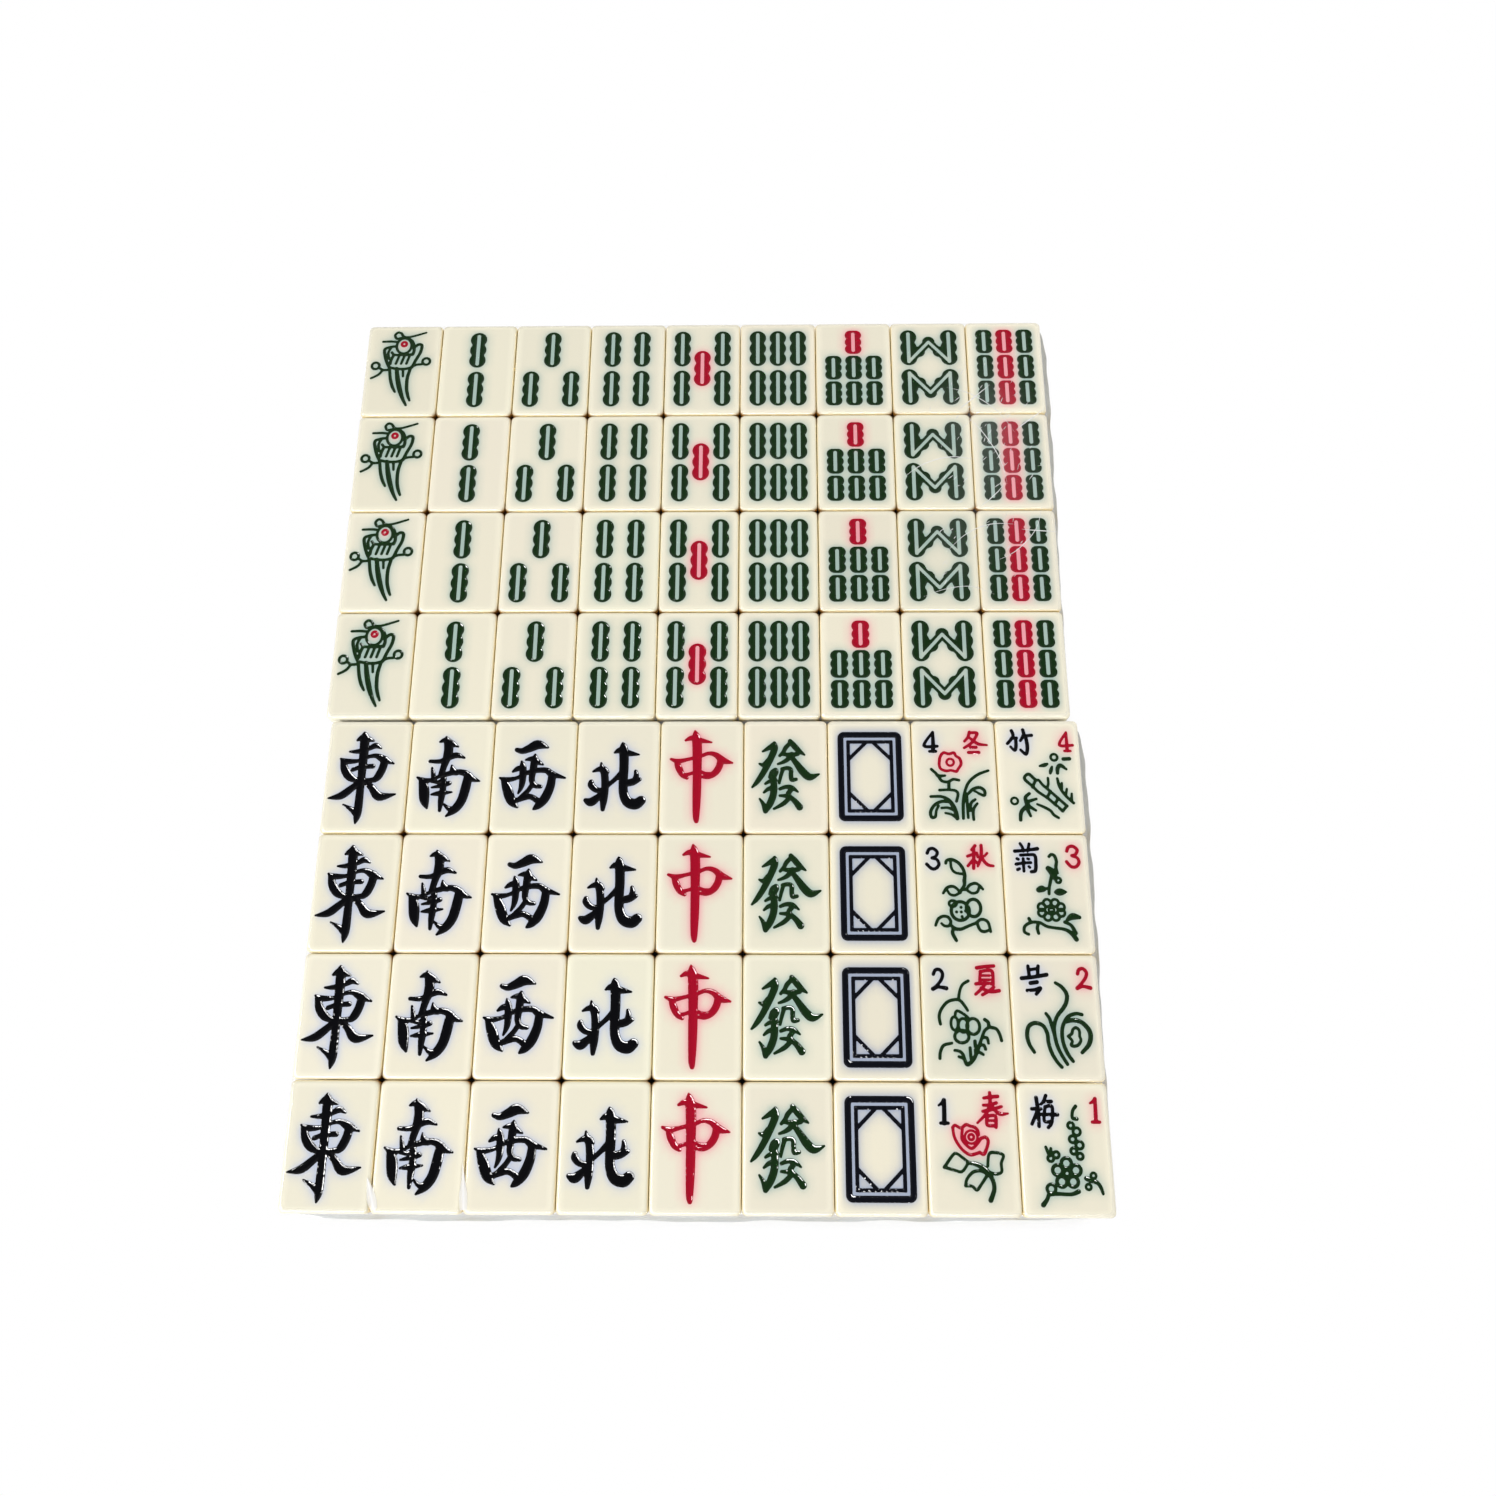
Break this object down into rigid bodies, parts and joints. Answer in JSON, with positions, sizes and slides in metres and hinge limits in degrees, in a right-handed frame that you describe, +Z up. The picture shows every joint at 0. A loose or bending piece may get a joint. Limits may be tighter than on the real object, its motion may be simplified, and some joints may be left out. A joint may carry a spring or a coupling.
{
  "type": "wrapped mahjong tile set",
  "caption": "Flat blocks of moulded, engraved mahjong tiles lying face up edge to edge, each block held together by its own clear shrink film and lifted out whole to be unwrapped.",
  "frame": {"origin": "on the surface that the packs lie on, below the middle of the whole", "axes": "+X to the right and +Y away from someone who reads the tiles, +Z up through the tiles' faces"},
  "size_m": [0.2584, 0.317, 0.0203],
  "materials": {
    "tile_plastic": "moulded ivory plastic with a polished surface",
    "black_paint": "glossy black paint in an engraved groove",
    "blue_black_paint": "glossy blue-black paint in an engraved groove",
    "green_paint": "glossy dark green paint in an engraved groove",
    "red_paint": "glossy crimson paint in an engraved groove",
    "shrink_film": "clear shrink film, shiny and lightly wrinkled"
  },
  "bodies": {
    "front_pack": {"east_tiles": "tile_plastic", "south_tiles": "tile_plastic", "west_tiles": "tile_plastic", "north_tiles": "tile_plastic", "east_black": "black_paint", "south_black": "black_paint", "west_black": "black_paint", "north_black": "black_paint", "red_dragon_tiles": "tile_plastic", "green_dragon_tiles": "tile_plastic", "white_dragon_tiles": "tile_plastic", "red_dragon_red": "red_paint", "green_dragon_green": "green_paint", "white_dragon_blue_black": "blue_black_paint", "spring_tile": "tile_plastic", "summer_tile": "tile_plastic", "autumn_tile": "tile_plastic", "winter_tile": "tile_plastic", "season_black": "black_paint", "season_red": "red_paint", "season_green": "green_paint", "plum_tile": "tile_plastic", "orchid_tile": "tile_plastic", "chrysanthemum_tile": "tile_plastic", "bamboo_plant_tile": "tile_plastic", "plant_black": "black_paint", "plant_red": "red_paint", "plant_green": "green_paint", "front_film_upper": "shrink_film", "front_film_lower": "shrink_film"},
    "rear_pack": {"bamboo_1_tiles": "tile_plastic", "bamboo_2_tiles": "tile_plastic", "bamboo_3_tiles": "tile_plastic", "bamboo_4_tiles": "tile_plastic", "bamboo_5_tiles": "tile_plastic", "bamboo_6_tiles": "tile_plastic", "bamboo_7_tiles": "tile_plastic", "bamboo_8_tiles": "tile_plastic", "bamboo_9_tiles": "tile_plastic", "bamboo_1_green": "green_paint", "bamboo_2_green": "green_paint", "bamboo_3_green": "green_paint", "bamboo_4_green": "green_paint", "bamboo_5_green": "green_paint", "bamboo_6_green": "green_paint", "bamboo_7_green": "green_paint", "bamboo_8_green": "green_paint", "bamboo_9_green": "green_paint", "bamboo_1_red": "red_paint", "bamboo_5_red": "red_paint", "bamboo_7_red": "red_paint", "bamboo_9_red": "red_paint", "rear_film_upper": "shrink_film", "rear_film_lower": "shrink_film"}
  },
  "joints": [
    {"name": "rear_pack_lift", "type": "slide", "parent": "front_pack", "child": "rear_pack", "axis": [0, 0, 1], "range_m": [0, 0.06]}
  ]
}
